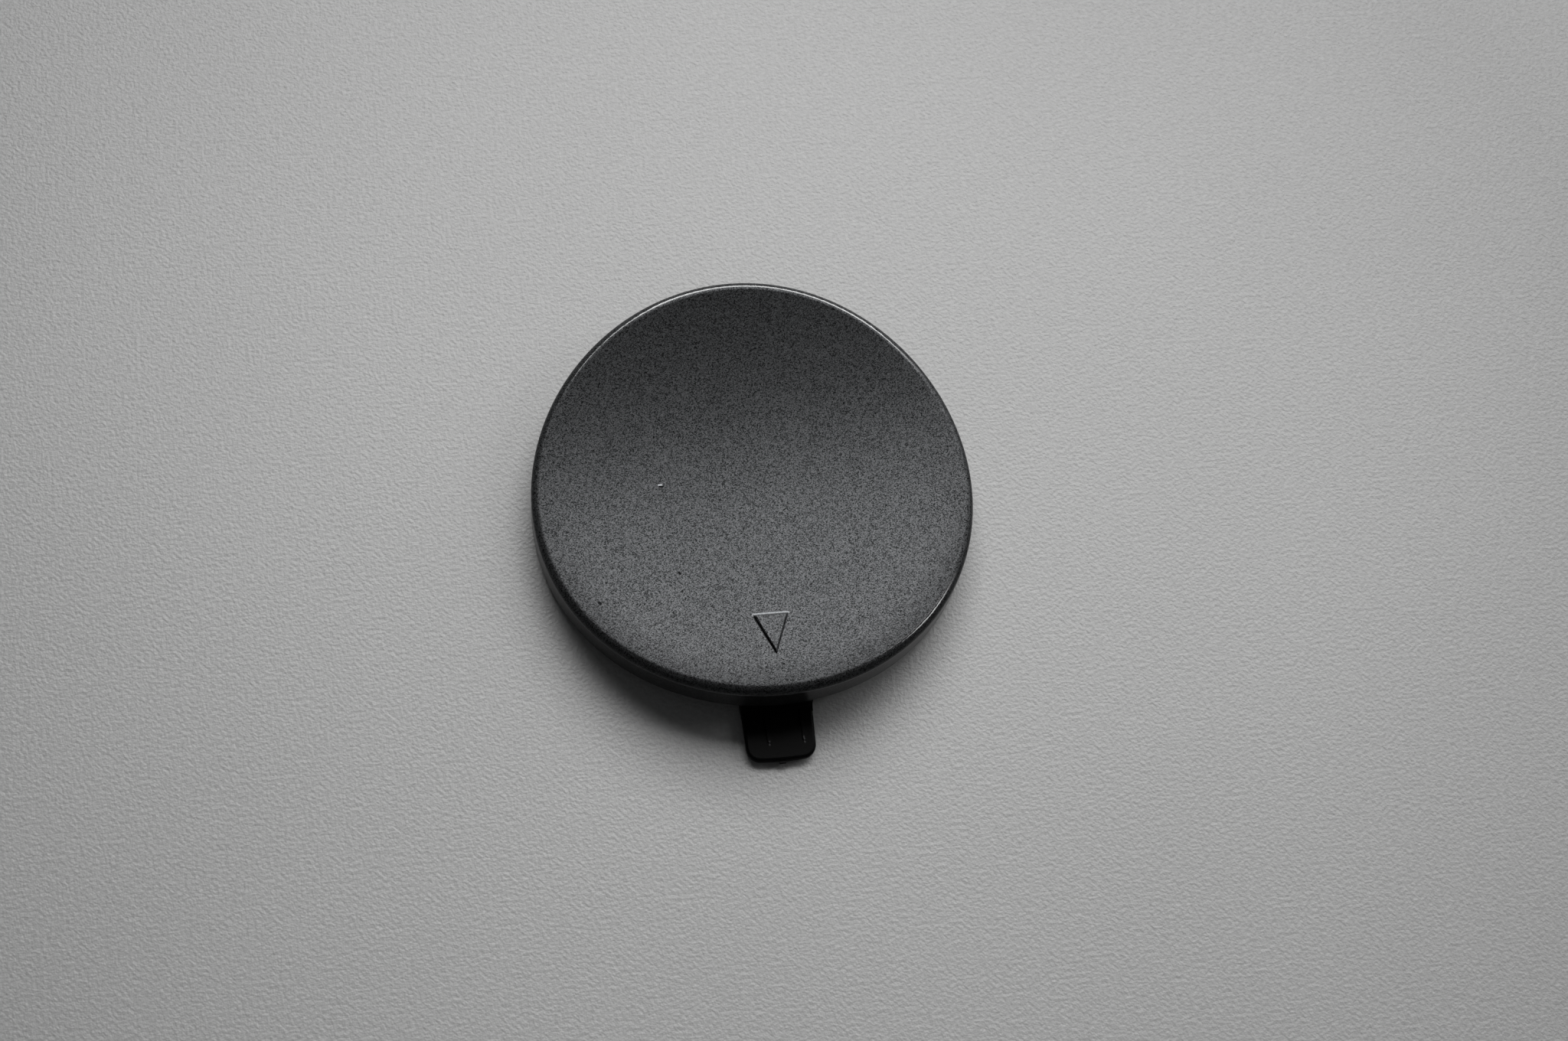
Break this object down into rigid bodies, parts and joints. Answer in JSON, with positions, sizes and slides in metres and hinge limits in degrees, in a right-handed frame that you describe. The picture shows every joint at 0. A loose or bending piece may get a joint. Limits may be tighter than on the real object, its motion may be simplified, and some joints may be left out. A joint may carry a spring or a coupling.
{
  "type": "round snap-in hole plug",
  "caption": "Round dished cap with a short skirt, a hooked tongue on one side and snap arms opposite; closes a towing-eye hole in a bumper.",
  "frame": {"origin": "on the axis of the round skirt, at the height where the edge rounding meets the skirt's wall on the X axis", "axes": "+Z out of the show face, -Y towards the tongue, +X to the right as the triangle on the face points down"},
  "size_m": [0.064, 0.0713, 0.0107],
  "materials": {
    "painted_plastic": "dark grey metallic paint with a satin clear coat on the face and skirt; bare black plastic on the tongue and underneath"
  },
  "bodies": {
    "root": {"hole_plug": "painted_plastic"}
  },
  "joints": []
}
